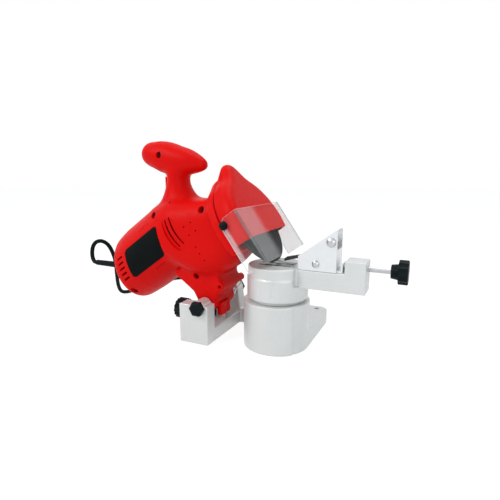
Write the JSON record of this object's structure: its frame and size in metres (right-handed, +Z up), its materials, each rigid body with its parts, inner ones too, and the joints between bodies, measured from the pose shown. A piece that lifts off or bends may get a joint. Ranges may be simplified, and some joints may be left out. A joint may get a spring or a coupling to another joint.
{
  "type": "electric chainsaw chain sharpener",
  "caption": "Bench grinder for saw chains: a motor head with a trigger handle and guarded disc tilts down over a swivelling vise with an adjustable chain stop.",
  "frame": {"origin": "on the underside of the base plate, at the middle of its rear part, on the bench", "axes": "+X to the operator's right along the vise arm, +Y away from the operator towards the plate's back edge, +Z up"},
  "size_m": [0.4596, 0.2913, 0.2477],
  "materials": {
    "adjusting_knob": "moulded black",
    "adjusting_screw": "plain",
    "arbor_nut": "plain",
    "armature": "laminated core with copper winding",
    "base_casting": "satin grey-green casting paint",
    "brush_holder_far": "plain",
    "brush_holder_near": "plain",
    "chain_pawl": "blackened",
    "clamp_knob": "moulded black",
    "clamp_screw": "plain",
    "clear_shield": "clear sheet plastic",
    "coil_tie": "black",
    "cord_coil": "black",
    "cord_gland": "black",
    "depth_stop_knob": "moulded black",
    "depth_stop_nut": "plain",
    "depth_stop_pad": "black",
    "depth_stop_screw": "plain",
    "drive_belt": "black",
    "fan": "moulded black",
    "fixed_jaw": "plain",
    "grinding_wheel": "resin bonded abrasive disc",
    "guard_back": "moulded semi-gloss red",
    "guard_cover": "moulded semi-gloss red",
    "hinge_pin": "plain",
    "housing_far": "moulded semi-gloss red",
    "housing_near": "moulded semi-gloss red",
    "inner_flange": "plain",
    "lock_knob": "moulded black",
    "lock_washer": "plain",
    "motor_bearing_front": "plain",
    "motor_bearing_rear": "plain",
    "motor_pulley": "plain",
    "moving_jaw": "plain",
    "outer_flange": "plain",
    "pin_cap_front": "moulded black",
    "pin_cap_rear": "moulded black",
    "plate_spacer": "plain",
    "plug": "black",
    "power_cord": "black",
    "rating_plate": "bare black label plate",
    "return_spring": "plain",
    "shield_screw_far": "moulded black",
    "shield_screw_near": "moulded black",
    "side_plate_front": "zinc plated",
    "side_plate_rear": "zinc plated",
    "spindle": "plain",
    "spindle_bearing_front": "plain",
    "spindle_bearing_rear": "plain",
    "spindle_pulley": "plain",
    "stator": "plain",
    "stop_carriage": "plain",
    "stop_screw_lower": "plain",
    "stop_screw_nut": "blackened",
    "stop_screw_upper": "plain",
    "switch_block": "moulded black",
    "switch_trigger": "moulded black",
    "swivel_stud": "plain",
    "turntable": "satin grey-green casting paint"
  },
  "bodies": {
    "base": {"base_casting": "base_casting", "hinge_pin": "hinge_pin", "pin_cap_front": "pin_cap_front", "pin_cap_rear": "pin_cap_rear", "return_spring": "return_spring", "depth_stop_nut": "depth_stop_nut", "power_cord": "power_cord", "cord_coil": "cord_coil", "coil_tie": "coil_tie", "plug": "plug"},
    "depth_stop": {"depth_stop_pad": "depth_stop_pad"},
    "depth_stop_turn": {"depth_stop_screw": "depth_stop_screw", "depth_stop_knob": "depth_stop_knob"},
    "swivel": {"turntable": "turntable", "swivel_stud": "swivel_stud", "lock_washer": "lock_washer", "fixed_jaw": "fixed_jaw"},
    "lock": {"lock_knob": "lock_knob"},
    "jaw": {"moving_jaw": "moving_jaw"},
    "clamp": {"clamp_screw": "clamp_screw", "clamp_knob": "clamp_knob"},
    "carriage": {"stop_carriage": "stop_carriage", "side_plate_front": "side_plate_front", "side_plate_rear": "side_plate_rear", "stop_screw_upper": "stop_screw_upper", "stop_screw_lower": "stop_screw_lower", "stop_screw_nut": "stop_screw_nut", "plate_spacer": "plate_spacer"},
    "adjuster": {"adjusting_screw": "adjusting_screw", "adjusting_knob": "adjusting_knob"},
    "pawl": {"chain_pawl": "chain_pawl"},
    "head": {"housing_near": "housing_near", "housing_far": "housing_far", "rating_plate": "rating_plate", "cord_gland": "cord_gland", "switch_block": "switch_block", "stator": "stator", "brush_holder_near": "brush_holder_near", "brush_holder_far": "brush_holder_far", "motor_bearing_front": "motor_bearing_front", "motor_bearing_rear": "motor_bearing_rear", "spindle_bearing_front": "spindle_bearing_front", "spindle_bearing_rear": "spindle_bearing_rear", "drive_belt": "drive_belt", "guard_back": "guard_back", "guard_cover": "guard_cover", "clear_shield": "clear_shield", "shield_screw_near": "shield_screw_near", "shield_screw_far": "shield_screw_far"},
    "trigger": {"switch_trigger": "switch_trigger"},
    "armature": {"armature": "armature", "fan": "fan", "motor_pulley": "motor_pulley"},
    "spindle": {"spindle": "spindle", "spindle_pulley": "spindle_pulley", "inner_flange": "inner_flange", "grinding_wheel": "grinding_wheel", "outer_flange": "outer_flange", "arbor_nut": "arbor_nut"}
  },
  "joints": [
    {"name": "head_swing", "type": "hinge", "parent": "base", "child": "head", "pos_m": [-0.0475, -0.07, 0.0465], "axis": [0, -1, 0], "range_deg": [0, 11]},
    {"name": "spindle_spin", "type": "hinge", "parent": "head", "child": "spindle", "pos_m": [0.0046, -0.07, 0.14817], "axis": [0.8192, 0, 0.5736], "continuous": true},
    {"name": "armature_spin", "type": "hinge", "parent": "head", "child": "armature", "pos_m": [-0.10428, -0.07, 0.1276], "axis": [0.8192, 0, 0.5736], "continuous": true},
    {"name": "trigger_press", "type": "slide", "parent": "head", "child": "trigger", "axis": [1, 0, 0], "range_m": [0, 0.003], "stiffness_N_per_m": 1500, "springref_m": -0.002},
    {"name": "depth_stop_slide", "type": "slide", "parent": "base", "child": "depth_stop", "axis": [1, 0, 0], "range_m": [-0.006, 0]},
    {"name": "depth_stop_turn", "type": "hinge", "parent": "depth_stop", "child": "depth_stop_turn", "pos_m": [-0.0745, -0.092, 0.034], "axis": [1, 0, 0], "range_deg": [-1730, 2]},
    {"name": "table_swivel", "type": "hinge", "parent": "base", "child": "swivel", "pos_m": [0.037, -0.07, 0.0577], "axis": [0, 0, 1], "range_deg": [-35, 35]},
    {"name": "lock_turn", "type": "hinge", "parent": "swivel", "child": "lock", "pos_m": [0.037, -0.07, 0.03], "axis": [0, 0, 1], "range_deg": [0, 90]},
    {"name": "jaw_slide", "type": "slide", "parent": "swivel", "child": "jaw", "axis": [0, 1, 0], "range_m": [-0.0005, 0.0025]},
    {"name": "clamp_turn", "type": "hinge", "parent": "jaw", "child": "clamp", "pos_m": [0.037, -0.05, 0.0875], "axis": [0, 1, 0], "range_deg": [-181, 901]},
    {"name": "carriage_slide", "type": "slide", "parent": "swivel", "child": "carriage", "axis": [1, 0, 0], "range_m": [-0.005, 0.002]},
    {"name": "adjuster_turn", "type": "hinge", "parent": "carriage", "child": "adjuster", "pos_m": [0.1165, -0.07, 0.104], "axis": [1, 0, 0], "range_deg": [-1801, 721]},
    {"name": "pawl_swing", "type": "hinge", "parent": "carriage", "child": "pawl", "pos_m": [0.0869, -0.07, 0.1072], "axis": [0, 1, 0], "range_deg": [0, 6]}
  ],
  "couplings": [
    {"joint": "spindle_spin", "follows": "armature_spin", "ratio": 0.3125},
    {"joint": "depth_stop_turn", "follows": "depth_stop_slide", "rad_per_m": 5026.5},
    {"joint": "clamp_turn", "follows": "jaw_slide", "rad_per_m": 6283.2},
    {"joint": "adjuster_turn", "follows": "carriage_slide", "rad_per_m": 6283.2}
  ]
}
